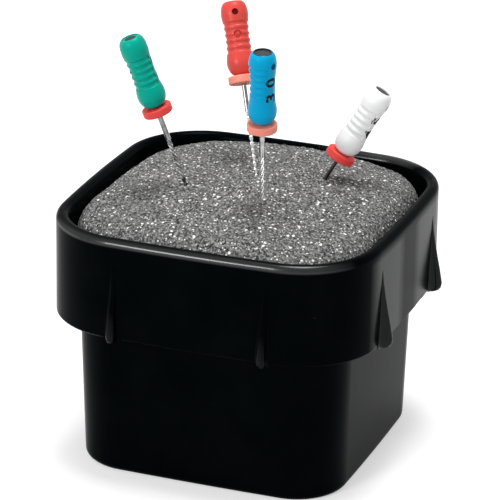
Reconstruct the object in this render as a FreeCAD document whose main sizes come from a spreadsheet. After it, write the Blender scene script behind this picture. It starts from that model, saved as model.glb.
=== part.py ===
import FreeCAD, Part
import math
import os

# Endodontic file stand, millimetres. The base stands on z = 0, up is +Z, the front face looks
# along -Y. Each file is made upright, with the handle's lower end at its own origin, and then
# leaned and carried to its place in the foam. The fins stand out on two sides only, so the whole
# stand is moved a little to bring the middle of its box over the origin.

DOC = FreeCAD.newDocument("endodontic_file_stand")
V = FreeCAD.Vector
Z_AXIS = V(0, 0, 1)

# driving sizes
SIZES = [
    # clamp frame
    ("frame_half", 23.0),          # middle of a side to the centre
    ("frame_corner", 11.5),
    ("frame_crown", 250.0),        # radius of the slightly bulged sides
    ("rim_top", 35.4),
    ("rim_width", 1.85),
    ("rim_round", 0.9),
    ("skirt_bottom", 21.3),
    ("skirt_wall", 1.5),
    ("skirt_edge_round", 0.25),
    # fins on the skirt
    ("fin_place", 10.6),
    ("fin_width", 1.2),
    ("fin_reach", 1.6),
    ("fin_flare", 0.9),            # spread of the fin's foot on each side
    ("fin_top", 31.8),
    ("fin_drop", 0.35),            # how far the fin hangs below the skirt
    ("fin_root", 0.7),
    # cup
    ("cup_step", 4.16),            # the foot's half width is this much less than the frame's
    ("cup_taper", 0.025),          # growth of the half width for each millimetre of height
    ("cup_corner", 7.3),
    ("cup_crown", 550.0),
    ("cup_wall", 1.6),
    ("cup_floor", 2.0),
    ("cup_top", 30.5),
    ("foot_round", 0.9),
    ("foot_rim", 2.2),
    ("foot_recess", 0.5),
    ("flange_thick", 1.5),
    ("flange_gap", 0.1),
    # foam
    ("foam_gap", 0.3),
    ("foam_corner", 11.6),
    ("foam_top", 38.5),
    ("foam_dome", 75.0),
    ("foam_edge_round", 2.8),
    ("foam_head_gap", 0.05),
    # handles
    ("handle_length", 10.2),
    ("handle_end", 0.85),
    ("low_bulb", 1.93),
    ("high_bulb", 1.87),
    ("waist", 1.67),
    ("cap_radius", 1.22),
    ("cap_recess", 0.12),
    ("groove_pitch", 0.89),
    ("groove_round", 0.5),
    ("groove_depth", 0.13),
    ("panel_angle", 62.0),
    ("cross_hole", 0.9),
    ("cross_hole_height", 8.6),
    ("cross_hole_web", 0.9),       # what is left in the middle between the two holes
    ("dimple", 1.15),
    ("dimple_pip", 0.5),
    ("dimple_height", 5.55),
    ("dimple_depth", 0.35),
    # shafts
    ("grip_length", 5.0),
    ("shank_length", 5.0),
    ("blade_length", 16.0),
    ("blade_growth", 0.32),        # diameter gained over the blade's length
    ("bore_gap", 0.05),
    # depth stops
    ("stop_radius", 2.03),
    ("stop_thick", 1.1),
    ("stop_round", 0.2),
    ("stop_seat", 0.02),
    ("stop_play", 0.02),
]

sheet = DOC.addObject("Spreadsheet::Sheet", "sizes")
for row, (alias, value) in enumerate(SIZES, start=1):
    sheet.set("A%d" % row, alias)
    sheet.set("B%d" % row, str(value))
    sheet.setAlias("B%d" % row, alias)
DOC.recompute()


def size(alias):
    """value of a driving size"""
    return float(sheet.get(alias))


def bind(obj, prop, formula):
    """tie a property to the sheet; the words of the formula are sizes"""
    words = sorted({a for a, _ in SIZES}, key=len, reverse=True)
    text = formula
    for number, word in enumerate(words):
        text = text.replace(word, "{%d}" % number)
    for number, word in enumerate(words):
        text = text.replace("{%d}" % number, "sizes." + word)
    obj.setExpression(prop, text)


# the files in the foam
# entry point x and y, lean angle, direction of the lean, turn of the number panel,
# length of blade and shank in the foam, tip diameter, shank diameter, turns of the blade,
# height of the handle's lowest groove
FILES = {
    "green": dict(
        x=-7.29, y=-5.54, lean=20.1, way=201.6, turn=30.0,
        sunk=9.33, tip=0.35, shank=0.73, turns=7.0, groove=3.45,
    ),
    "red": dict(
        x=0.48, y=0.76, lean=27.8, way=128.9, turn=115.0,
        sunk=7.75, tip=0.25, shank=0.65, turns=4.5, groove=3.45,
    ),
    "blue": dict(
        x=4.79, y=-8.51, lean=6.1, way=285.3, turn=-18.0,
        sunk=9.07, tip=0.30, shank=0.70, turns=4.3, groove=4.5,
    ),
    "white": dict(
        x=9.35, y=4.24, lean=30.5, way=20.7, turn=-4.0,
        sunk=16.69, tip=0.15, shank=0.50, turns=6.0, groove=3.45,
    ),
}
BLADE_STEPS = 48
TIP_LENGTH = 0.3
TIP_SHARE = 0.25


def file_placement(spec):
    """leaned frame with its origin at the lower end of the handle"""
    x, y = spec["x"], spec["y"]
    z = size("foam_top") - (x * x + y * y) / (2 * size("foam_dome"))
    way = FreeCAD.Rotation(Z_AXIS, spec["way"])
    lean = FreeCAD.Rotation(V(0, 1, 0), spec["lean"])
    turn = FreeCAD.Rotation(Z_AXIS, spec["turn"] - spec["way"])
    rotation = way.multiply(lean).multiply(turn)
    above = size("shank_length") + size("blade_length") - spec["sunk"]
    return FreeCAD.Placement(V(x, y, z) + rotation.multVec(V(0, 0, above)), rotation)


# sketch helpers
def new_body(name):
    body = DOC.addObject("PartDesign::Body", name)
    body.Label = name
    return body


def origin_plane(body, role):
    for item in body.Origin.OriginFeatures:
        if item.Role == role:
            return item


def sketch_on(body, name, role, curves, height=None, turn=None):
    """sketch on one of the body's own planes, lifted by a formula"""
    sketch = body.newObject("Sketcher::SketchObject", name)
    sketch.AttachmentSupport = [(origin_plane(body, role), "")]
    sketch.MapMode = "FlatFace"
    if turn is not None:
        sketch.AttachmentOffset = FreeCAD.Placement(V(0, 0, 0), turn)
    if height is not None:
        bind(sketch, "AttachmentOffset.Base.z", height)
    sketch.addGeometry(curves, False)
    DOC.recompute()
    return sketch


def plan(half, corner, crown):
    """closed square outline of eight tangent arcs: bulged sides and round corners"""
    reach = crown - half
    centre = (math.sqrt(2 * (crown - corner) ** 2 - reach ** 2) - reach) / 2
    swing = math.atan2(centre, centre + reach)
    curves = []
    for quarter in range(4):
        turn = quarter * math.pi / 2
        spin = FreeCAD.Rotation(Z_AXIS, math.degrees(turn))
        side = Part.Circle(spin.multVec(V(-reach, 0, 0)), Z_AXIS, crown)
        curves.append(Part.ArcOfCircle(side, turn - swing, turn + swing))
        knee = Part.Circle(spin.multVec(V(centre, centre, 0)), Z_AXIS, corner)
        curves.append(Part.ArcOfCircle(knee, turn + swing, turn + math.pi / 2 - swing))
    return curves


def frame_plan(inset):
    return plan(size("frame_half") - inset, size("frame_corner") - inset, size("frame_crown") - inset)


def cup_plan(height, inset):
    half = size("frame_half") - size("cup_step") + size("cup_taper") * height
    return plan(half - inset, size("cup_corner") - inset, size("cup_crown") - inset)


def ring(radius, x=0.0, y=0.0):
    return Part.Circle(V(x, y, 0), Z_AXIS, radius)


def pad(body, name, sketch, length):
    feature = body.newObject("PartDesign::Pad", name)
    feature.Profile = sketch
    bind(feature, "Length", length)
    DOC.recompute()
    return feature


def pocket(body, name, sketch, length, reverse=False):
    feature = body.newObject("PartDesign::Pocket", name)
    feature.Profile = sketch
    feature.Reversed = reverse
    bind(feature, "Length", length)
    DOC.recompute()
    return feature


def loft(body, kind, name, sketches):
    feature = body.newObject("PartDesign::" + kind, name)
    feature.Profile = sketches[0]
    feature.Sections = sketches[1:]
    feature.Ruled = True
    DOC.recompute()
    return feature


def edges_where(shape, test):
    return ["Edge%d" % (n + 1) for n, edge in enumerate(shape.Edges) if test(edge)]


def at_height(edge, z):
    box = edge.BoundBox
    return abs(box.ZMin - z) < 1e-4 and abs(box.ZMax - z) < 1e-4


def reach_of(edge):
    """largest distance of an edge's points from the centre in plan, along x or y"""
    box = edge.BoundBox
    return max(abs(box.XMin), abs(box.XMax), abs(box.YMin), abs(box.YMax))


def fillet(body, name, base, edges, radius):
    feature = body.newObject("PartDesign::Fillet", name)
    feature.Base = (base, edges)
    bind(feature, "Radius", radius)
    DOC.recompute()
    return feature


# cup
FOOT_STEPS = 5


def make_cup():
    body = new_body("cup")
    top, floor = size("cup_top"), size("cup_floor")
    sections = []
    for step in range(FOOT_STEPS + 1):
        angle = math.pi / 2 * step / FOOT_STEPS
        rise, inset = 1 - math.cos(angle), 1 - math.sin(angle)
        outline = cup_plan(size("foot_round") * rise, size("foot_round") * inset)
        name = "cup_foot_outline_%d" % (step + 1)
        sections.append(sketch_on(body, name, "XY_Plane", outline, "foot_round * %.6f" % rise))
    sections.append(sketch_on(body, "cup_mouth_outline", "XY_Plane", cup_plan(top, 0), "cup_top"))
    loft(body, "AdditiveLoft", "cup_outside", sections)
    wall = size("cup_wall")
    low = sketch_on(body, "cavity_floor_outline", "XY_Plane", cup_plan(floor, wall), "cup_floor")
    high = sketch_on(body, "cavity_mouth_outline", "XY_Plane", cup_plan(top, wall), "cup_top")
    loft(body, "SubtractiveLoft", "cup_cavity", [low, high])
    under = sketch_on(body, "foot_recess_outline", "XY_Plane", cup_plan(0, size("foot_rim")))
    pocket(body, "foot_recess_cut", under, "foot_recess", True)
    outline = frame_plan(size("skirt_wall") + size("flange_gap")) + cup_plan(top, wall / 2)
    edge = sketch_on(body, "flange_outline", "XY_Plane", outline, "cup_top - flange_thick")
    body.Tip = pad(body, "flange", edge, "flange_thick")
    body.Placement = stand_place()
    DOC.recompute()
    return body


# clamp frame
# height as a share of the way from the skirt's edge to the fin's top, share of the full reach
FIN_LEVELS = [
    (-0.01, 0.72), (0.03, 0.93), (0.09, 1.0), (0.28, 0.78), (0.46, 0.53), (0.63, 0.32), (0.81, 0.13),
    (1.0, 0.015),
]


def fin_face():
    """distance of the skirt's bulged face from the middle where a fin stands"""
    crown = size("frame_crown")
    return math.sqrt(crown ** 2 - size("fin_place") ** 2) - (crown - size("frame_half"))


def fin_outline(share, side):
    """plan section of a fin on the front face: hollow flanks and a round nose"""
    face, reach = fin_face(), size("fin_reach") * share
    half = size("fin_width") / 2 * (0.4 + 0.6 * share)
    flare, shoulder = size("fin_flare") * share, reach * 0.55

    def at(across, out):
        return V(side * size("fin_place") + across, -(face + out), 0)

    foot, root = half + flare, -size("fin_root")
    return [
        Part.Arc(at(-foot, 0), at(-half - 0.3 * flare, 0.3 * shoulder), at(-half, shoulder)),
        Part.Arc(at(-half, shoulder), at(0, reach), at(half, shoulder)),
        Part.Arc(at(half, shoulder), at(half + 0.3 * flare, 0.3 * shoulder), at(foot, 0)),
        Part.LineSegment(at(foot, 0), at(foot, root)),
        Part.LineSegment(at(foot, root), at(-foot, root)),
        Part.LineSegment(at(-foot, root), at(-foot, 0)),
    ]


def stand_place():
    """brings the middle of the stand's box over the origin"""
    over = (fin_face() + size("fin_reach") - size("frame_half")) / 2
    return FreeCAD.Placement(V(-over, over, 0), FreeCAD.Rotation())


def make_frame():
    body = new_body("clamp_frame")
    wall, rim = size("skirt_wall"), size("rim_width")
    outline = frame_plan(0) + frame_plan(wall)
    skirt = sketch_on(body, "skirt_outline", "XY_Plane", outline, "skirt_bottom")
    pad(body, "skirt", skirt, "rim_top - skirt_bottom")
    outline = frame_plan(wall / 2) + frame_plan(rim)
    throat = sketch_on(body, "throat_outline", "XY_Plane", outline, "cup_top")
    upper = pad(body, "throat", throat, "rim_top - cup_top")
    top = edges_where(upper.Shape, lambda e: at_height(e, size("rim_top")))
    bead = fillet(body, "rim_bead", upper, top, "rim_round")
    middle = size("frame_half") - wall / 2
    low = edges_where(
        bead.Shape,
        lambda e: at_height(e, size("skirt_bottom")) and abs(e.Curve.Radius) > 0 and outer_edge(e, middle),
    )
    fillet(body, "skirt_edge", bead, low, "skirt_edge_round")
    lofts = []
    for side, word in ((-1, "left"), (1, "right")):
        name = "fin_%s_section_" % word
        parts = [sketch_on(body, name + "0", "XY_Plane", fin_outline(0.35, side), "skirt_bottom - fin_drop")]
        for number, (level, share) in enumerate(FIN_LEVELS, start=1):
            height = "skirt_bottom + (fin_top - skirt_bottom) * %.3f" % level
            parts.append(sketch_on(body, name + str(number), "XY_Plane", fin_outline(share, side), height))
        lofts.append(loft(body, "AdditiveLoft", "fin_" + word, parts))
    pattern = body.newObject("PartDesign::PolarPattern", "fins_front_and_right")
    pattern.Originals = lofts
    pattern.Axis = (origin_plane(body, "Z_Axis"), [""])
    pattern.Angle = 90
    pattern.Occurrences = 2
    body.Tip = pattern
    body.Placement = stand_place()
    DOC.recompute()
    return body


def outer_edge(edge, middle):
    """true for the arcs of the outline that lies outside the middle of the skirt's wall"""
    point = edge.valueAt((edge.FirstParameter + edge.LastParameter) / 2)
    flat = sorted((abs(point.x), abs(point.y)))
    if flat[0] < 1:
        return flat[1] > middle
    wall = size("skirt_wall")
    corner = size("frame_corner") - wall / 2
    reach = size("frame_crown") - size("frame_half")
    centre = (math.sqrt(2 * (size("frame_crown") - size("frame_corner")) ** 2 - reach ** 2) - reach) / 2
    return math.hypot(flat[0] - centre, flat[1] - centre) > corner


# foam
def make_foam():
    body = new_body("foam_insert")
    gap, wall = size("foam_gap"), size("cup_wall")
    floor, top = size("cup_floor"), size("cup_top")
    low = sketch_on(body, "foam_foot_outline", "XY_Plane", cup_plan(floor, wall + gap), "cup_floor + foam_gap")
    high = sketch_on(body, "foam_neck_outline", "XY_Plane", cup_plan(top, wall + gap), "cup_top + foam_head_gap")
    loft(body, "AdditiveLoft", "foam_block", [low, high])
    inset = size("rim_width") + gap
    outline = plan(size("frame_half") - inset, size("foam_corner"), size("frame_crown") - inset)
    head = sketch_on(body, "foam_head_outline", "XY_Plane", outline, "cup_top + foam_head_gap")
    pad(body, "foam_head", head, "foam_top - cup_top")
    radius, crest = size("foam_dome"), size("foam_top")
    far = 1.6 * size("frame_half")
    drop = radius - math.sqrt(radius ** 2 - far ** 2)
    middle = far / 2
    sag = radius - math.sqrt(radius ** 2 - middle ** 2)
    roof = crest + radius / 4
    arc = Part.Arc(V(0, crest, 0), V(middle, crest - sag, 0), V(far, crest - drop, 0))
    curves = [
        arc,
        Part.LineSegment(V(far, crest - drop, 0), V(far, roof, 0)),
        Part.LineSegment(V(far, roof, 0), V(0, roof, 0)),
        Part.LineSegment(V(0, roof, 0), V(0, crest, 0)),
    ]
    dome = sketch_on(body, "foam_dome_line", "XZ_Plane", curves)
    cut = body.newObject("PartDesign::Groove", "foam_dome_cut")
    cut.Profile = dome
    cut.ReferenceAxis = (dome, ["V_Axis"])
    cut.Angle = 360
    DOC.recompute()
    above = size("cup_top") + 1
    top_edges = edges_where(cut.Shape, lambda e: e.BoundBox.ZMin > above and e.Length > 1e-3)
    last = fillet(body, "foam_pillow_edge", cut, top_edges, "foam_edge_round")
    for name, spec in FILES.items():
        last = file_bore(body, name, spec)
    body.Tip = last
    body.Placement = stand_place()
    DOC.recompute()
    return body


def shaft_radius(spec, from_tip):
    """radius of blade or shank at a distance from the tip"""
    if from_tip > size("blade_length"):
        return spec["shank"] / 2
    return (spec["tip"] + size("blade_growth") * from_tip / size("blade_length")) / 2


def file_bore(body, name, spec):
    """tapered hole in the foam round one file"""
    gap = size("bore_gap")
    length = spec["sunk"] + 1.0
    bore = body.newObject("PartDesign::SubtractiveCone", "bore_" + name)
    bore.Radius1 = shaft_radius(spec, 0) + gap
    bore.Radius2 = shaft_radius(spec, length) + gap
    bore.Height = length + gap
    place = file_placement(spec)
    start = -(size("shank_length") + size("blade_length")) - gap
    bore.Placement = FreeCAD.Placement(place.multVec(V(0, 0, start)), place.Rotation)
    DOC.recompute()
    return bore


# handles
# share of the length, share of the way from end or waist to bulb
LOW_BULB = [(0.0, 0.0), (0.022, 0.38), (0.06, 0.70), (0.11, 0.91), (0.175, 1.0)]
HIGH_BULB = [(0.835, 1.0), (0.885, 0.93), (0.93, 0.79), (0.965, 0.56), (0.99, 0.24), (1.0, 0.0)]
WAIST = [(0.25, 0.72), (0.31, 0.28), (0.38, 0.08), (0.48, 0.0), (0.60, 0.06), (0.69, 0.30), (0.77, 0.76)]


def handle_outline():
    """points of the handle's side line from its lower end to its top"""
    length, waist = size("handle_length"), size("waist")
    low, high = size("low_bulb"), size("high_bulb")
    end, cap = size("handle_end"), size("cap_radius")
    points = [V(end + (low - end) * w, length * s, 0) for s, w in LOW_BULB]
    for share, weight in WAIST:
        bulb = low if share < 0.5 else high
        points.append(V(waist + (bulb - waist) * weight, length * share, 0))
    points += [V(cap + (high - cap) * w, length * s, 0) for s, w in HIGH_BULB]
    return points


def make_handle(name, spec):
    body = new_body(name + "_handle")
    points = handle_outline()
    side = Part.BSplineCurve()
    side.interpolate(points)
    length, cap, recess = size("handle_length"), size("cap_radius"), size("cap_recess")
    inner = cap - recess
    chain = [
        V(cap, length, 0), V(inner, length, 0), V(inner, length - recess, 0),
        V(0, length - recess, 0), V(0, 0, 0), V(size("handle_end"), 0, 0),
    ]
    curves = [side] + [Part.LineSegment(a, b) for a, b in zip(chain, chain[1:])]
    outline = sketch_on(body, name + "_side_line", "XZ_Plane", curves)
    turned = body.newObject("PartDesign::Revolution", name + "_turned")
    turned.Profile = outline
    turned.ReferenceAxis = (outline, ["V_Axis"])
    turned.Angle = 360
    DOC.recompute()
    radius, depth = size("groove_round"), size("groove_depth")
    circles = []
    for number in range(5):
        height = spec["groove"] + number * size("groove_pitch")
        surface = outline_radius(side, height)
        circles.append(ring(radius, surface + radius - depth, height))
    turn = FreeCAD.Rotation(V(0, 1, 0), size("panel_angle") / 2)
    cuts = sketch_on(body, name + "_groove_rings", "XZ_Plane", circles, turn=turn)
    grooves = body.newObject("PartDesign::Groove", name + "_grooves")
    grooves.Profile = cuts
    grooves.ReferenceAxis = (cuts, ["V_Axis"])
    bind(grooves, "Angle", "360 - panel_angle")
    DOC.recompute()
    for side, word in ((1, "front"), (-1, "rear")):
        circle = [ring(size("cross_hole") / 2, 0, size("cross_hole_height"))]
        start = "cross_hole_web * %.1f" % (side / 2)
        hole = sketch_on(body, "%s_%s_hole_ring" % (name, word), "YZ_Plane", circle, start)
        pocket(body, "%s_%s_hole" % (name, word), hole, "high_bulb", side > 0)
    rings = [
        ring(size("dimple") / 2, 0, size("dimple_height")),
        ring(size("dimple_pip") / 2, 0, size("dimple_height")),
    ]
    mark = sketch_on(body, name + "_dimple_ring", "YZ_Plane", rings, "-(waist + dimple_depth)")
    pocket(body, name + "_dimple", mark, "dimple_depth * 2", True)
    seat = sketch_on(body, name + "_shank_ring", "XY_Plane", [ring(spec["shank"] / 2)])
    body.Tip = pocket(body, name + "_shank_seat", seat, "grip_length", True)
    body.Placement = stand_place().multiply(file_placement(spec))
    DOC.recompute()
    return body


def outline_radius(curve, height):
    """radius of the side line at a height"""
    low, high = curve.FirstParameter, curve.LastParameter
    for _ in range(50):
        middle = (low + high) / 2
        if curve.value(middle).y < height:
            low = middle
        else:
            high = middle
    return curve.value(low).x


# shafts
def blade_section(radius, height, angle):
    """square section of the blade at one height"""
    points = []
    for corner in range(4):
        a = math.radians(angle + 90 * corner)
        points.append(V(radius * math.cos(a), radius * math.sin(a), height))
    return Part.makePolygon(points + points[:1])


def make_shaft(name, spec):
    shank, blade = size("shank_length"), size("blade_length")
    stem = Part.makeCylinder(spec["shank"] / 2, size("grip_length") + shank, V(0, 0, -shank))
    sections = [blade_section(shaft_radius(spec, 0) * TIP_SHARE, -(shank + blade), 0)]
    for step in range(BLADE_STEPS + 1):
        share = step / BLADE_STEPS
        from_tip = TIP_LENGTH + (blade - TIP_LENGTH) * share
        angle = 360 * spec["turns"] * from_tip / blade
        sections.append(blade_section(shaft_radius(spec, from_tip), from_tip - blade - shank, angle))
    twisted = Part.makeLoft(sections, True, True)
    shape = stem.fuse(twisted)
    obj = DOC.addObject("Part::Feature", name + "_shaft")
    obj.Label = name + "_shaft"
    obj.Shape = shape.Solids[0] if len(shape.Solids) == 1 else shape
    obj.Placement = stand_place().multiply(file_placement(spec))
    return obj


# depth stops
def make_stop(name, spec):
    body = new_body(name + "_stop")
    rings = [ring(size("stop_radius")), ring(spec["shank"] / 2 + size("stop_play"))]
    outline = sketch_on(body, name + "_stop_rings", "XY_Plane", rings, "-(stop_thick + stop_seat)")
    disc = pad(body, name + "_stop_disc", outline, "stop_thick")
    limit = size("stop_radius") * 0.9
    edges = edges_where(disc.Shape, lambda e: len(e.Vertexes) == 1 and reach_of(e) > limit)
    body.Tip = fillet(body, name + "_stop_round", disc, edges, "stop_round")
    body.Placement = stand_place().multiply(file_placement(spec))
    DOC.recompute()
    return body


NODES = [make_cup(), make_frame(), make_foam()]
for colour, values in FILES.items():
    NODES.append(make_handle(colour, values))
    NODES.append(make_shaft(colour, values))
    NODES.append(make_stop(colour, values))
DOC.recompute()

for item in DOC.Objects:
    if "Invalid" in item.State or "Error" in item.State:
        raise RuntimeError("failed feature: " + item.Label)

os.makedirs("parts", exist_ok=True)
for node in NODES:
    solid = node.Shape
    if solid.isNull() or not solid.isValid() or len(solid.Solids) != 1:
        raise RuntimeError("bad solid: %s, solids %d" % (node.Label, len(solid.Solids)))
    solid.exportStep("parts/%s.step" % node.Label)
    box = solid.BoundBox
    print(node.Label, round(solid.Volume, 2), [round(v, 2) for v in (
        box.XMin, box.XMax, box.YMin, box.YMax, box.ZMin, box.ZMax)])
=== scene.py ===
import math

import bmesh
import bpy
from mathutils import Matrix, Vector, noise
from mathutils.bvhtree import BVHTree


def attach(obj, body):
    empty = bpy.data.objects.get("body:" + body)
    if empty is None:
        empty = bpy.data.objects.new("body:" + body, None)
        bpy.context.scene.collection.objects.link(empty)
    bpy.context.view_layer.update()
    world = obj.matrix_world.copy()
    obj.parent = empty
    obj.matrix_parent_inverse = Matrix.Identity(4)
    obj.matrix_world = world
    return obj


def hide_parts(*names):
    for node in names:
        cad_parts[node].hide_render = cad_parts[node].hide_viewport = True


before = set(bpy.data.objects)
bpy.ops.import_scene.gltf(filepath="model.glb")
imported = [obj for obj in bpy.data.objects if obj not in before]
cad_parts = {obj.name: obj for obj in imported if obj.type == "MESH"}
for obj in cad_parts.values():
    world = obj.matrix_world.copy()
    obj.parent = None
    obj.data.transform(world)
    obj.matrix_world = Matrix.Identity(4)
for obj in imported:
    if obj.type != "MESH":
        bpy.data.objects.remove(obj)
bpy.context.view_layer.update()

# Endodontic file stand, metres. The base stands on z = 0, up is +Z, the front face looks along -Y.
# The fins stand out on two sides only, so the stand's own middle is a little beside the origin.

MM = 0.001
STAND = Vector((-0.688, 0.688, 0))       # middle of the stand, millimetres
SCENE = bpy.context.scene
SCENE.view_settings.view_transform = "Standard"

# camera at the photograph's viewing angle
CAMERA_AZIMUTH, CAMERA_ELEVATION, CAMERA_ROLL = 20.29, 21.914, 0.949    # degrees
CAMERA_AIM = 27.301                      # height that it looks at, millimetres
CAMERA_AWAY = 0.479502                   # metres
CAMERA_LENS, CAMERA_SENSOR, CAMERA_SHIFT = 252.97, 36, 0.00174


def set_camera():
    azimuth, elevation, roll = (math.radians(a) for a in (CAMERA_AZIMUTH, CAMERA_ELEVATION, CAMERA_ROLL))
    target = (STAND + Vector((0, 0, CAMERA_AIM))) * MM
    back = Vector((
        math.sin(azimuth) * math.cos(elevation),
        -math.cos(azimuth) * math.cos(elevation),
        math.sin(elevation),
    ))
    data = bpy.data.cameras.new("photo_camera")
    data.lens = CAMERA_LENS
    data.sensor_width = CAMERA_SENSOR
    data.shift_x = CAMERA_SHIFT
    data.clip_start = 0.01
    data.clip_end = 20
    camera = bpy.data.objects.new("photo_camera", data)
    turn = (
        Matrix.Rotation(azimuth, 4, "Z")
        @ Matrix.Rotation(math.pi / 2 - elevation, 4, "X")
        @ Matrix.Rotation(roll, 4, "Z")
    )
    camera.matrix_world = Matrix.Translation(target + back * CAMERA_AWAY) @ turn
    SCENE.collection.objects.link(camera)
    SCENE.camera = camera


set_camera()


# node helpers
class Nodes:
    """short hand for one node tree"""

    def __init__(self, tree):
        self.tree = tree

    def add(self, kind, **values):
        node = self.tree.nodes.new(kind)
        for name, value in values.items():
            setattr(node, name, value)
        return node

    def wire(self, output, entry):
        self.tree.links.new(output, entry)

    def feed(self, entry, value):
        """a value or another node's output into a socket"""
        if isinstance(value, bpy.types.NodeSocket):
            self.wire(value, entry)
        elif value is not None:
            entry.default_value = value

    def math(self, kind, *values):
        node = self.add("ShaderNodeMath", operation=kind)
        for entry, value in zip(node.inputs, values):
            self.feed(entry, value)
        return node.outputs[0]

    def vector(self, kind, a, b, exit="Vector"):
        node = self.add("ShaderNodeVectorMath", operation=kind)
        self.feed(node.inputs[0], a)
        self.feed(node.inputs[1], b)
        return node.outputs[exit]

    def blend(self, share, a, b, kind="MIX"):
        node = self.add("ShaderNodeMix", data_type="RGBA", blend_type=kind)
        self.feed(node.inputs[0], share)
        self.feed(node.inputs[6], a)
        self.feed(node.inputs[7], b)
        return node.outputs[2]

    def noise(self, place, scale, detail=2.0, rough=0.5):
        node = self.add("ShaderNodeTexNoise")
        self.feed(node.inputs["Vector"], place)
        self.feed(node.inputs["Scale"], scale)
        node.inputs["Detail"].default_value = detail
        node.inputs["Roughness"].default_value = rough
        return node.outputs["Fac"]

    def cells(self, place, scale):
        node = self.add("ShaderNodeTexVoronoi", feature="F1")
        self.feed(node.inputs["Vector"], place)
        self.feed(node.inputs["Scale"], scale)
        return node

    def lot(self, cells):
        """one chance value for each cell"""
        node = self.add("ShaderNodeSeparateColor")
        self.wire(cells.outputs["Color"], node.inputs[0])
        return node.outputs[0]

    def ramp(self, value, low, high, start=0.0, end=1.0):
        node = self.add("ShaderNodeMapRange", clamp=True)
        self.feed(node.inputs[0], value)
        for number, item in enumerate((low, high, start, end), start=1):
            self.feed(node.inputs[number], item)
        return node.outputs[0]

    def place(self):
        return self.add("ShaderNodeTexCoord").outputs["Object"]

    def band(self, value, low, high, fade_low, fade_high):
        """1 between two levels, with a soft edge at each, in millimetres"""
        rise = self.ramp(value, (low - fade_low) * MM, low * MM)
        fall = self.ramp(value, high * MM, (high + fade_high) * MM, 1.0, 0.0)
        return self.math("MULTIPLY", rise, fall)

    def seen_by_eye(self):
        """1 for what the camera, a gloss or clear glass shows, 0 for light that falls on the object"""
        path = self.add("ShaderNodeLightPath").outputs
        seen = self.math("MAXIMUM", path["Is Camera Ray"], path["Is Glossy Ray"])
        return self.math("MAXIMUM", seen, path["Is Transmission Ray"])


def grey(value):
    return (value, value, value, 1)


def new_group(name, entries, exits):
    """node group with named inputs and outputs"""
    tree = bpy.data.node_groups.new(name, "ShaderNodeTree")
    for label, kind, value in entries:
        socket = tree.interface.new_socket(label, in_out="INPUT", socket_type="NodeSocket" + kind)
        if value is not None:
            socket.default_value = value
    for label, kind in exits:
        tree.interface.new_socket(label, in_out="OUTPUT", socket_type="NodeSocket" + kind)
    nodes = Nodes(tree)
    return nodes, nodes.add("NodeGroupInput").outputs, nodes.add("NodeGroupOutput").inputs


def use_group(nodes, tree, **values):
    node = nodes.add("ShaderNodeGroup", node_tree=tree)
    for label, value in values.items():
        nodes.feed(node.inputs[label.replace("_", " ")], value)
    return node.outputs


def new_material(name):
    material = bpy.data.materials.new(name)
    material.use_nodes = True
    material.node_tree.nodes.clear()
    nodes = Nodes(material.node_tree)
    shader = nodes.add("ShaderNodeBsdfPrincipled")
    out = nodes.add("ShaderNodeOutputMaterial")
    nodes.wire(shader.outputs[0], out.inputs[0])
    return material, nodes, shader.inputs


def bump(nodes, shader, height, depth):
    node = nodes.add("ShaderNodeBump")
    node.inputs["Strength"].default_value = 1.0
    node.inputs["Distance"].default_value = depth
    nodes.wire(height, node.inputs["Height"])
    nodes.wire(node.outputs[0], shader["Normal"])


# shared effects
def make_moulded_skin():
    """fine sparkle of a tool surface, with soft flow marks in colour and gloss"""
    nodes, entry, leave = new_group(
        "moulded_skin",
        [("Colour", "Color", grey(0.5)), ("Gloss", "Float", 0.3), ("Grain", "Float", 9000.0),
         ("Marks", "Float", 0.1)],
        [("Colour", "Color"), ("Roughness", "Float"), ("Height", "Float")],
    )
    place = nodes.place()
    fine = nodes.noise(place, entry["Grain"], 3.0, 0.6)
    flow = nodes.noise(place, 140.0, 3.0, 0.55)
    shade = nodes.ramp(flow, 0.3, 0.7, 0.0, entry["Marks"])
    pale = nodes.blend(shade, entry["Colour"], grey(1), "SCREEN")
    nodes.wire(pale, leave["Colour"])
    rough = nodes.math("MULTIPLY_ADD", flow, 0.12, -0.06)
    nodes.wire(nodes.math("ADD", rough, entry["Gloss"]), leave["Roughness"])
    nodes.wire(fine, leave["Height"])
    return nodes.tree


def make_dust():
    """small pale specks that lie about on a surface"""
    nodes, entry, leave = new_group(
        "dust_specks",
        [("Colour", "Color", grey(0.5)), ("Roughness", "Float", 0.3), ("Amount", "Float", 0.1),
         ("Size", "Float", 700.0)],
        [("Colour", "Color"), ("Roughness", "Float")],
    )
    place = nodes.place()
    cells = nodes.cells(place, entry["Size"])
    near = nodes.ramp(cells.outputs["Distance"], 0.10, 0.22, 1.0, 0.0)
    speck = nodes.math("MULTIPLY", near, nodes.math("LESS_THAN", nodes.lot(cells), entry["Amount"]))
    nodes.wire(nodes.blend(speck, entry["Colour"], DUST_GREY), leave["Colour"])
    nodes.wire(nodes.math("MULTIPLY_ADD", speck, 0.5, entry["Roughness"]), leave["Roughness"])
    return nodes.tree


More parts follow.
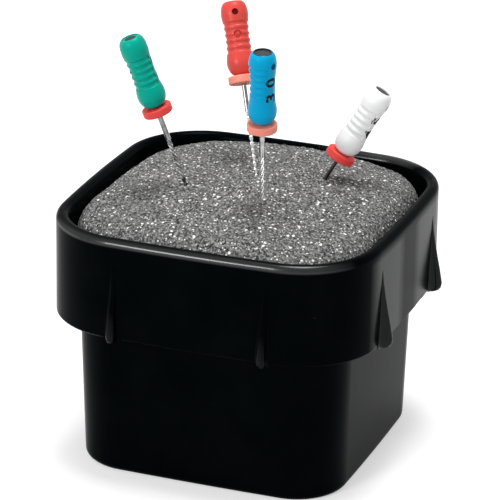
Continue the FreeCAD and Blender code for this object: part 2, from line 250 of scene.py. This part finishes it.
def make_inked_end():
    """round black ink mark on the end face of a handle"""
    nodes, entry, leave = new_group(
        "inked_end",
        [("Colour", "Color", grey(0.5)), ("End", "Vector", None), ("Axis", "Vector", None),
         ("Radius", "Float", 1.1 * MM)],
        [("Colour", "Color"), ("Ink", "Float")],
    )
    place = nodes.place()
    local = nodes.vector("SUBTRACT", place, entry["End"])
    above = nodes.vector("DOT_PRODUCT", local, entry["Axis"], "Value")
    aside = nodes.vector("LENGTH", nodes.vector("CROSS_PRODUCT", local, entry["Axis"]), None, "Value")
    ragged = nodes.math("MULTIPLY_ADD", nodes.noise(place, 1800.0), 0.10 * MM, -0.05 * MM)
    within = nodes.math("SUBTRACT", entry["Radius"], nodes.math("ADD", aside, ragged))
    ink = nodes.math(
        "MULTIPLY", nodes.ramp(within, -0.015 * MM, 0.015 * MM), nodes.math("GREATER_THAN", above, -0.4 * MM),
    )
    nodes.wire(nodes.blend(ink, entry["Colour"], INK_BLACK), leave["Colour"])
    nodes.wire(ink, leave["Ink"])
    return nodes.tree


def make_ground_metal():
    """grinding marks and a soft change of tone on bright wire"""
    nodes, entry, leave = new_group(
        "ground_metal",
        [("Pale", "Color", grey(0.8)), ("Dark", "Color", grey(0.4)), ("Gloss", "Float", 0.2)],
        [("Colour", "Color"), ("Roughness", "Float"), ("Height", "Float")],
    )
    place = nodes.place()
    marks = nodes.noise(place, 14000.0, 2.0, 0.6)
    soft = nodes.noise(place, 1100.0, 2.0, 0.5)
    nodes.wire(nodes.blend(nodes.ramp(soft, 0.35, 0.65), entry["Dark"], entry["Pale"]), leave["Colour"])
    nodes.wire(nodes.math("MULTIPLY_ADD", marks, 0.14, entry["Gloss"]), leave["Roughness"])
    nodes.wire(marks, leave["Height"])
    return nodes.tree


INK_BLACK, DUST_GREY = (0.004, 0.004, 0.005, 1), (0.03, 0.033, 0.033, 1)
MOULDED_SKIN = make_moulded_skin()
DUST = make_dust()
INKED_END = make_inked_end()
GROUND_METAL = make_ground_metal()


# the four files: entry point in the foam, lean, way of the lean, turn of the number panel,
# length in the foam (millimetres and degrees), size number
FILES = {
    "green": (-7.29, -5.54, 20.1, 201.6, 30.0, 9.33, "35"),
    "red": (0.48, 0.76, 27.8, 128.9, 115.0, 7.75, "25"),
    "blue": (4.79, -8.51, 6.1, 285.3, -18.0, 9.07, "30"),
    "white": (9.35, 4.24, 30.5, 20.7, -4.0, 16.69, "45"),
}
INK_RADIUS = {"green": 0.8, "red": 1.15, "blue": 1.3, "white": 1.06}
FOAM_TOP, FOAM_DOME = 38.5, 75.0
WIRE_LENGTH, SHANK_LENGTH, HANDLE_LENGTH = 21.0, 5.0, 10.2


def file_matrix(x, y, lean, way, turn, sunk):
    """leaned frame with its origin at the lower end of the handle, millimetres"""
    z = FOAM_TOP - (x * x + y * y) / (2 * FOAM_DOME)
    turned = (
        Matrix.Rotation(math.radians(way), 4, "Z")
        @ Matrix.Rotation(math.radians(lean), 4, "Y")
        @ Matrix.Rotation(math.radians(turn - way), 4, "Z")
    )
    entry = Matrix.Translation(STAND + Vector((x, y, z)))
    return entry @ turned @ Matrix.Translation((0, 0, WIRE_LENGTH - sunk))


PLACES = {colour: file_matrix(*values[:6]) for colour, values in FILES.items()}


# materials; the black plastic's polished places, in millimetres from the stand's middle and base
RIM_LOW, RIM_HIGH = 34.6, 35.1           # outer round of the rim, heights
REAR_LIP = 34.6
SIDE_FROM, SIDE_TOP = 22.3, 33.5         # right face of the skirt, and how high its polish goes
FIN_FROM, FIN_TO = 23.7, 24.4            # distance of the fins' outer edges from the middle
SIDE_POLISH, BAND_POLISH, FIN_POLISH = 0.30, 0.03, 0.2


def polish(nodes):
    """where handling has polished the black plastic: front and rear of the rim, right side, fins"""
    local = nodes.vector("SUBTRACT", nodes.place(), STAND * MM)
    spread = nodes.add("ShaderNodeSeparateXYZ")
    nodes.wire(local, spread.inputs[0])
    wide, deep, high = spread.outputs
    out = nodes.math("MAXIMUM", nodes.math("ABSOLUTE", wide), nodes.math("ABSOLUTE", deep))
    front_rim = nodes.math(
        "MULTIPLY", nodes.band(high, RIM_LOW, RIM_HIGH, 0.3, 0.3), nodes.ramp(deep, -17.0 * MM, -21.0 * MM),
    )
    rear_rim = nodes.math(
        "MULTIPLY", nodes.ramp(deep, 19.0 * MM, 20.5 * MM),
        nodes.ramp(high, REAR_LIP * MM, (REAR_LIP + 0.4) * MM),
    )
    rear_rim = nodes.math("MULTIPLY", rear_rim, nodes.ramp(wide, 2.0 * MM, 12.0 * MM))
    side = nodes.math(
        "MULTIPLY", nodes.ramp(wide, SIDE_FROM * MM, (SIDE_FROM + 0.4) * MM),
        nodes.ramp(high, SIDE_TOP * MM, (SIDE_TOP + 0.9) * MM, 1.0, 0.0),
    )
    dull_band = nodes.ramp(nodes.math("ABSOLUTE", deep), 2.0 * MM, 4.5 * MM, BAND_POLISH, SIDE_POLISH)
    fins = nodes.ramp(out, FIN_FROM * MM, FIN_TO * MM, 0.0, FIN_POLISH)
    polished = nodes.math("MAXIMUM", front_rim, rear_rim)
    polished = nodes.math("MAXIMUM", polished, nodes.math("MULTIPLY", side, dull_band))
    return nodes.math("MAXIMUM", polished, fins)


def black_plastic():
    material, nodes, shader = new_material("glossy_black_plastic")
    skin = use_group(nodes, MOULDED_SKIN, Colour=(0.0002, 0.0005, 0.0007, 1), Gloss=0.22, Marks=0.001)
    specks = use_group(
        nodes, DUST, Colour=skin["Colour"], Roughness=skin["Roughness"], Amount=0.002, Size=1900.0,
    )
    nodes.wire(specks["Colour"], shader["Base Color"])
    nodes.wire(specks["Roughness"], shader["Roughness"])
    nodes.wire(polish(nodes), shader["Coat Weight"])
    shader["Coat Roughness"].default_value = 0.24
    shader["Specular IOR Level"].default_value = 0.013
    shader["Specular Tint"].default_value = (0.5, 0.85, 1.0, 1)
    bump(nodes, shader, skin["Height"], 1e-6)
    return material


def handle_plastic(colour, tone, sheen, ink_sheen=0.0):
    """satin moulded handle with a black ink mark on its end; sheen tints its soft reflection"""
    material, nodes, shader = new_material(colour + "_handle_plastic")
    skin = use_group(nodes, MOULDED_SKIN, Colour=tone, Gloss=0.34, Marks=0.004)
    matrix = PLACES[colour]
    ink = use_group(
        nodes, INKED_END, Colour=skin["Colour"],
        End=matrix @ Vector((0, 0, HANDLE_LENGTH)) * MM, Axis=matrix.col[2].to_3d(),
        Radius=INK_RADIUS[colour] * MM,
    )
    nodes.wire(ink["Colour"], shader["Base Color"])
    nodes.wire(skin["Roughness"], shader["Roughness"])
    if ink_sheen:
        nodes.wire(nodes.math("MULTIPLY", ink["Ink"], ink_sheen), shader["Coat Weight"])
        shader["Coat Roughness"].default_value = 0.35
    shader["Specular IOR Level"].default_value = 0.25
    shader["Specular Tint"].default_value = sheen
    bump(nodes, shader, skin["Height"], 2e-6)
    return material


def marking_ink():
    material, nodes, shader = new_material("black_marking_ink")
    skin = use_group(nodes, MOULDED_SKIN, Colour=INK_BLACK, Gloss=0.40, Grain=12000.0, Marks=0.01)
    nodes.wire(skin["Colour"], shader["Base Color"])
    nodes.wire(skin["Roughness"], shader["Roughness"])
    shader["Specular IOR Level"].default_value = 0.05
    bump(nodes, shader, skin["Height"], 2e-6)
    return material


def silicone(name, tone):
    material, nodes, shader = new_material(name)
    skin = use_group(nodes, MOULDED_SKIN, Colour=tone, Gloss=0.50, Grain=6000.0, Marks=0.03)
    nodes.wire(skin["Colour"], shader["Base Color"])
    nodes.wire(skin["Roughness"], shader["Roughness"])
    shader["Specular IOR Level"].default_value = 0.3
    shader["Subsurface Weight"].default_value = 0.3
    shader["Subsurface Scale"].default_value = 1.0
    shader["Subsurface Radius"].default_value = (0.6 * MM, 0.15 * MM, 0.1 * MM)
    bump(nodes, shader, skin["Height"], 3e-6)
    return material


def steel(colour, blade, dark_blade, shank, gloss):
    """bright ground blade below a duller drawn shank, which is the wire's own finish; the tones given for
    each file are painted light and shade, so one steel comes in lit and shaded copies
    """
    material, nodes, shader = new_material(colour + "_file_steel_lit_and_shaded")
    matrix = PLACES[colour]
    local = nodes.vector("SUBTRACT", nodes.place(), matrix @ Vector((0, 0, -SHANK_LENGTH)) * MM)
    above = nodes.vector("DOT_PRODUCT", local, matrix.col[2].to_3d(), "Value")
    drawn = nodes.ramp(above, -0.05 * MM, 0.05 * MM)
    pale = nodes.blend(drawn, grey(blade), grey(shank))
    dark = nodes.blend(drawn, grey(dark_blade), grey(0.6 * shank))
    metal = use_group(nodes, GROUND_METAL, Pale=pale, Dark=dark, Gloss=gloss)
    nodes.wire(metal["Colour"], shader["Base Color"])
    nodes.wire(metal["Roughness"], shader["Roughness"])
    shader["Metallic"].default_value = 1.0
    bump(nodes, shader, metal["Height"], 2e-6)
    return material


# cells or waves of the foam's surface in each metre
PORE_RATE, WALL_RATE, PATCH_RATE, GRAIN_RATE, FLAKE_RATE = 2300.0, 2900.0, 300.0, 2800.0, 1500.0
# the dark cell and pore tones are painted shade in the foam's hollows
CELL_SHADE, WALL_PALE = (0.012, 0.012, 0.013, 1), (0.40, 0.40, 0.395, 1)
PORE_SHADE, PATCH_GREY, GRAIN_WHITE = (0.02, 0.02, 0.021, 1), (0.22, 0.21, 0.205, 1), (0.95, 0.95, 0.94, 1)


def speckled_foam():
    """open-cell foam: dark cells and pores darkened towards their middles, painted shade in its hollows;
    paler walls between them, small grains and larger bright flakes
    """
    material, nodes, shader = new_material("speckled_grey_foam")
    place = nodes.place()
    pores = nodes.cells(place, PORE_RATE)
    walls = nodes.noise(place, WALL_RATE, 3.0, 0.75)
    broad = nodes.noise(place, PATCH_RATE, 2.0, 0.5)
    depth = nodes.ramp(pores.outputs["Distance"], 0.1, 0.7)
    # painted shade: the cells take the dark tone, and the pores grow darker towards their middles, where the
    # bump sinks them deepest
    tone = nodes.blend(nodes.ramp(walls, 0.43, 0.59), CELL_SHADE, WALL_PALE)
    tone = nodes.blend(nodes.math("MULTIPLY", depth, 0.5), tone, PORE_SHADE)
    tone = nodes.blend(nodes.ramp(broad, 0.35, 0.65, 0.0, 0.15), tone, PATCH_GREY)
    cells = nodes.cells(place, GRAIN_RATE)
    near = nodes.ramp(cells.outputs["Distance"], 0.26, 0.44, 1.0, 0.0)
    grain = nodes.math("MULTIPLY", nodes.ramp(nodes.lot(cells), 0.80, 0.86), near)
    flakes = nodes.cells(place, FLAKE_RATE)
    rare = nodes.ramp(broad, 0.35, 0.65, 0.92, 0.80)
    flake = nodes.math(
        "MULTIPLY", nodes.math("GREATER_THAN", nodes.lot(flakes), rare),
        nodes.ramp(flakes.outputs["Distance"], 0.26, 0.38, 1.0, 0.0),
    )
    grain = nodes.math("MAXIMUM", grain, flake)
    nodes.wire(nodes.blend(grain, tone, GRAIN_WHITE), shader["Base Color"])
    nodes.wire(nodes.ramp(grain, 0.0, 1.0, 0.9, 0.4), shader["Roughness"])
    shader["Specular IOR Level"].default_value = 0.25
    height = nodes.math("MULTIPLY_ADD", depth, -0.8, walls)
    bump(nodes, shader, nodes.math("ADD", height, grain), 0.12 * MM)
    return material


BLACK = black_plastic()
HANDLES = {
    "green": handle_plastic("green", (0.0, 0.33, 0.245, 1), (0.15, 1, 0.9, 1)),
    "red": handle_plastic("red", (0.64, 0.060, 0.048, 1), (1, 0.8, 0.75, 1)),
    "blue": handle_plastic("blue", (0.0, 0.32, 0.58, 1), (0.1, 0.75, 1, 1), 0.5),
    "white": handle_plastic("white", grey(0.87), grey(1)),
}
INK = marking_ink()
RED_SILICONE = silicone("red_silicone", (0.74, 0.040, 0.032, 1))
PALE_SILICONE = silicone("pale_red_silicone", (0.86, 0.26, 0.19, 1))
# one steel for all four files, in tones from near black on the white file's wire to near white on the blue
# blade: painted light and shade, lit and shaded copies of one material
STEELS_LIT_AND_SHADED = {
    "green": steel("green", 0.60, 0.03, 0.30, 0.10),
    "red": steel("red", 0.85, 0.60, 0.30, 0.06),
    "blue": steel("blue", 0.98, 0.80, 0.50, 0.04),
    "white": steel("white", 0.03, 0.015, 0.05, 0.25),
}
FOAM_SKIN = speckled_foam()


# outline of the stand in plan, the same arcs as the frame
def plan_points(half, corner, crown, count):
    """evenly spread points round a square with bulged sides and round corners"""
    reach = crown - half
    centre = (math.sqrt(2 * (crown - corner) ** 2 - reach ** 2) - reach) / 2
    swing = math.atan2(centre, centre + reach)
    bend = math.pi / 4 - swing
    side, knee = 2 * swing * crown, bend * corner
    points = []
    for number in range(count):
        quarter, share = divmod(number / count * 4, 1)
        run = share * (side + 2 * knee)
        if run < knee:
            a = -math.pi / 4 + run / corner
            point = Vector((centre + corner * math.cos(a), -centre + corner * math.sin(a), 0))
        elif run < knee + side:
            a = -swing + (run - knee) / crown
            point = Vector((crown * math.cos(a) - reach, crown * math.sin(a), 0))
        else:
            a = swing + (run - knee - side) / corner
            point = Vector((centre + corner * math.cos(a), centre + corner * math.sin(a), 0))
        points.append(Matrix.Rotation(quarter * math.pi / 2, 3, "Z") @ point)
    return points


# foam
FOAM_EDGE = 2.8
FOAM_HALF, FOAM_CORNER, FOAM_CROWN = 20.85, 11.6, 247.85
NECK_HALF, FOOT_HALF, BLOCK_CORNER, BLOCK_CROWN = 17.7, 16.99, 5.4, 548.1
NECK_Z, FOOT_Z = 30.55, 2.3
NECK_STEP = 0.6                          # height over which the head turns into the block
SIDE_ROWS, BLOCK_ROWS = 12, 6
GRID, EDGE_RINGS = 240, 17
DENT_DEPTH, DENT_WIDTH = 0.35, 0.55
LUMP_WAVE, LUMP_DEPTH = 0.16, 0.12       # soft waves of the pillow
CELL_WAVE, CELL_DEPTH = 2.0, 0.13        # two sizes of foam cell
FINE_WAVE, FINE_DEPTH, FINE_SHIFT = 4.2, 0.10, Vector((9, 2, 5))
SKIN_SET_IN = 0.06
SUNK_LEFT, SUNK_REGAIN = 0.8, 0.6        # depth of the sunk left edge, and what comes back to the rear
SWOLLEN_RIGHT, SWOLLEN_FRONT = 0.5, 0.25


def foam_height(x, y, inset):
    """top face of the foam, falling off round its edge"""
    z = FOAM_TOP - (FOAM_DOME - math.sqrt(FOAM_DOME ** 2 - x * x - y * y))
    if inset < FOAM_EDGE:
        z -= FOAM_EDGE - math.sqrt(FOAM_EDGE ** 2 - (FOAM_EDGE - inset) ** 2)
    return z


def dent(point):
    """how far the foam is drawn in round a file"""
    depth = 0.0
    for x, y, *_ in FILES.values():
        away = math.hypot(point.x - x, point.y - y)
        depth += DENT_DEPTH * math.exp(-(away / DENT_WIDTH) ** 2)
    return depth


def ease(value, low, high):
    """soft step from 0 to 1"""
    share = min(max((value - low) / (high - low), 0.0), 1.0)
    return share * share * (3 - 2 * share)


def settle(point):
    """the pillow lies lower along its left rear edge and swells up along the right and front ones"""
    depth = SUNK_LEFT - SUNK_REGAIN * ease(point.y, 5.0, 16.0)
    sunk = ease(-point.x, 11.0, 20.0) * ease(point.y, -10.0, -2.0) * depth
    swollen = SWOLLEN_RIGHT * ease(point.x, 12.0, 19.5) + SWOLLEN_FRONT * ease(-point.y, 12.0, 19.5)
    return (swollen - sunk) * ease(point.z, 31.0, 34.0)


def square_ring(level):
    """grid places on one square ring, anticlockwise from the corner at +x -y"""
    places = []
    for step in range(2 * level):
        places.append((level, -level + step))
    for step in range(2 * level):
        places.append((level - step, level))
    for step in range(2 * level):
        places.append((-level, level - step))
    for step in range(2 * level):
        places.append((-level + step, -level))
    return places


def make_foam():
    levels = GRID // 2
    spots = {(0, 0): Vector((0, 0, FOAM_TOP))}
    flat = levels - EDGE_RINGS
    crown_half = FOAM_HALF - FOAM_EDGE, FOAM_CORNER - FOAM_EDGE, FOAM_CROWN - FOAM_EDGE
    for level in range(1, levels + 1):
        ring = square_ring(level)
        if level <= flat:
            share = level / flat
            line = [p * share for p in plan_points(*crown_half, len(ring))]
            inset = FOAM_EDGE
        else:
            angle = (level - flat) / (levels - flat) * math.pi / 2
            inset = FOAM_EDGE * (1 - math.sin(angle))
            line = plan_points(FOAM_HALF - inset, FOAM_CORNER - inset, FOAM_CROWN - inset, len(ring))
        for place, point in zip(ring, line):
            spots[place] = Vector((point.x, point.y, foam_height(point.x, point.y, inset)))
    mesh = bmesh.new()
    verts = {place: mesh.verts.new(point) for place, point in spots.items()}
    for x in range(-levels, levels):
        for y in range(-levels, levels):
            mesh.faces.new((verts[x, y], verts[x + 1, y], verts[x + 1, y + 1], verts[x, y + 1]))
    edge = [verts[place] for place in square_ring(levels)]
    count = len(edge)
    rows = []
    for row in range(1, SIDE_ROWS + 1):
        share = row / SIDE_ROWS
        rows.append([Vector((v.co.x, v.co.y, v.co.z + (NECK_Z - v.co.z) * share)) for v in edge])
    shoulder = NECK_Z - NECK_STEP
    levels_down = [(0, NECK_Z)]
    for row in range(BLOCK_ROWS + 1):
        share = row / BLOCK_ROWS
        levels_down.append((share, shoulder + (FOOT_Z - shoulder) * share))
    for share, height in levels_down:
        half = NECK_HALF + (FOOT_HALF - NECK_HALF) * share
        line = plan_points(half, BLOCK_CORNER, BLOCK_CROWN, count)
        rows.append([Vector((p.x, p.y, height)) for p in line])
    last = edge
    for row in rows:
        ring = [mesh.verts.new(point) for point in row]
        for n in range(count):
            m = (n + 1) % count
            mesh.faces.new((last[m], last[n], ring[n], ring[m]))
        last = ring
    mesh.faces.new(list(reversed(last)))
    mesh.normal_update()
    for vert in mesh.verts:
        point = vert.co.copy()
        lump = noise.noise(point * LUMP_WAVE) * LUMP_DEPTH
        cell = noise.noise(point * CELL_WAVE) * CELL_DEPTH
        cell += noise.noise(point * FINE_WAVE + FINE_SHIFT) * FINE_DEPTH
        if point.z < NECK_Z + 0.2:
            lump, cell = 0.0, min(cell, 0.0)
        elif point.z > FOAM_TOP - 3:
            lump -= dent(point)
        point.z += settle(point)
        vert.co = (STAND + point + vert.normal * (lump + cell - SKIN_SET_IN)) * MM
    data = bpy.data.meshes.new("foam_pillow")
    mesh.to_mesh(data)
    mesh.free()
    for face in data.polygons:
        face.use_smooth = True
    foam = bpy.data.objects.new("foam_pillow", data)
    SCENE.collection.objects.link(foam)
    data.materials.append(FOAM_SKIN)
    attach(foam, "stand")
    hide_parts("foam_insert")


make_foam()


# finishes of the carried-over parts
def finish_node(node, material):
    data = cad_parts[node].data
    data.materials.clear()
    data.materials.append(material)


finish_node("cup", BLACK)
finish_node("clamp_frame", BLACK)
for colour in FILES:
    finish_node(colour + "_handle", HANDLES[colour])
    finish_node(colour + "_shaft", STEELS_LIT_AND_SHADED[colour])
    finish_node(colour + "_stop", PALE_SILICONE if colour in ("blue", "red") else RED_SILICONE)


# size numbers, printed on the plain panel of each handle
FIGURE_LONG, FIGURE_TALL, FIGURE_HEIGHTS = 1.4, 1.75, (4.15, 6.35)
FIGURE_BOLD, FIGURE_STRETCH = 0.03, 1.15
FIGURE_SWING = {"green": 8.0, "red": 0.0, "blue": -8.0, "white": -9.0}     # degrees round the handle
PRINT_LIFT = 0.012                       # thickness of the ink, millimetres
PANEL_BEND = 1.8                         # radius on which the figures are bent round the handle
RAY_START = 4.0                          # clear of the handle


def figure_outline(figure):
    """flat filled figure, middle at the origin, reading direction along +X"""
    curve = bpy.data.curves.new("figure", "FONT")
    curve.body = figure
    curve.offset = FIGURE_BOLD
    curve.resolution_u = 6
    text = bpy.data.objects.new("figure", curve)
    SCENE.collection.objects.link(text)
    flat = bpy.data.meshes.new_from_object(text)
    bpy.data.objects.remove(text)
    mesh = bmesh.new()
    mesh.from_mesh(flat)
    bmesh.ops.triangulate(mesh, faces=mesh.faces)
    bmesh.ops.subdivide_edges(mesh, edges=mesh.edges, cuts=3, use_grid_fill=True)
    bmesh.ops.remove_doubles(mesh, verts=mesh.verts, dist=1e-5)
    xs, ys = [v.co.x for v in mesh.verts], [v.co.y for v in mesh.verts]
    middle = Vector(((min(xs) + max(xs)) / 2, (min(ys) + max(ys)) / 2, 0))
    tall = FIGURE_TALL / (max(ys) - min(ys))
    long = min(FIGURE_LONG / (max(xs) - min(xs)), tall * FIGURE_STRETCH)
    for vert in mesh.verts:
        vert.co = Vector(((vert.co.x - middle.x) * long, (vert.co.y - middle.y) * tall, 0))
    return mesh


def print_number(colour):
    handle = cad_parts[colour + "_handle"].data
    faces = [tuple(p.vertices) for p in handle.polygons]
    tree = BVHTree.FromPolygons([v.co for v in handle.vertices], faces)
    matrix = PLACES[colour]
    whole = bmesh.new()
    for figure, height in zip(FILES[colour][6], FIGURE_HEIGHTS):
        mesh = figure_outline(figure)
        for vert in mesh.verts:
            angle = math.radians(FIGURE_SWING[colour]) - vert.co.y / PANEL_BEND
            out = Vector((math.cos(angle), math.sin(angle), 0))
            start = matrix @ (out * RAY_START + Vector((0, 0, height + vert.co.x)))
            inward = -(matrix.to_3x3() @ out)
            hit = tree.ray_cast(start * MM, inward)[0]
            vert.co = hit - inward * PRINT_LIFT * MM
        part = bpy.data.meshes.new("part")
        mesh.to_mesh(part)
        mesh.free()
        whole.from_mesh(part)
    bmesh.ops.recalc_face_normals(whole, faces=whole.faces)
    data = bpy.data.meshes.new(colour + "_size_number")
    whole.to_mesh(data)
    whole.free()
    number = bpy.data.objects.new(colour + "_size_number", data)
    SCENE.collection.objects.link(number)
    data.materials.append(INK)
    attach(number, "stand")


for colour in FILES:
    print_number(colour)


# studio
FLOOR_TONE, FLOOR_GLOW, WORLD_LIGHT = 0.62, 0.48, 0.66
LAMP_AIM = (0, 0, 0.03)


def make_floor():
    mesh = bmesh.new()
    bmesh.ops.create_grid(mesh, x_segments=8, y_segments=8, size=3.0)
    data = bpy.data.meshes.new("floor")
    mesh.to_mesh(data)
    mesh.free()
    floor = bpy.data.objects.new("floor", data)
    SCENE.collection.objects.link(floor)
    material, nodes, shader = new_material("pale_floor")
    shader["Base Color"].default_value = grey(FLOOR_TONE)
    shader["Roughness"].default_value = 0.9
    shader["Specular IOR Level"].default_value = 0.0
    shader["Emission Color"].default_value = grey(1)
    nodes.wire(nodes.math("MULTIPLY", nodes.seen_by_eye(), FLOOR_GLOW), shader["Emission Strength"])
    data.materials.append(material)


def make_world():
    world = bpy.data.worlds.new("studio")
    SCENE.world = world
    world.use_nodes = True
    world.node_tree.nodes.clear()
    nodes = Nodes(world.node_tree)
    back = nodes.add("ShaderNodeBackground")
    nodes.wire(nodes.ramp(nodes.seen_by_eye(), 0.0, 1.0, WORLD_LIGHT, 1.0), back.inputs["Strength"])
    out = nodes.add("ShaderNodeOutputWorld")
    nodes.wire(back.outputs[0], out.inputs[0])


def softbox(name, place, size, power):
    """square lamp turned to the middle of the stand; metres and watts"""
    data = bpy.data.lights.new(name, "AREA")
    data.shape = "SQUARE"
    data.size = size
    data.energy = power
    lamp = bpy.data.objects.new(name, data)
    lamp.location = place
    lamp.rotation_euler = (Vector(LAMP_AIM) - Vector(place)).to_track_quat("-Z", "Y").to_euler()
    SCENE.collection.objects.link(lamp)


make_floor()
make_world()
softbox("overhead_softbox", (0.02, 0.05, 0.95), 0.32, 7.0)
softbox("front_softbox", (-0.40, -1.02, 0.46), 0.30, 6.0)
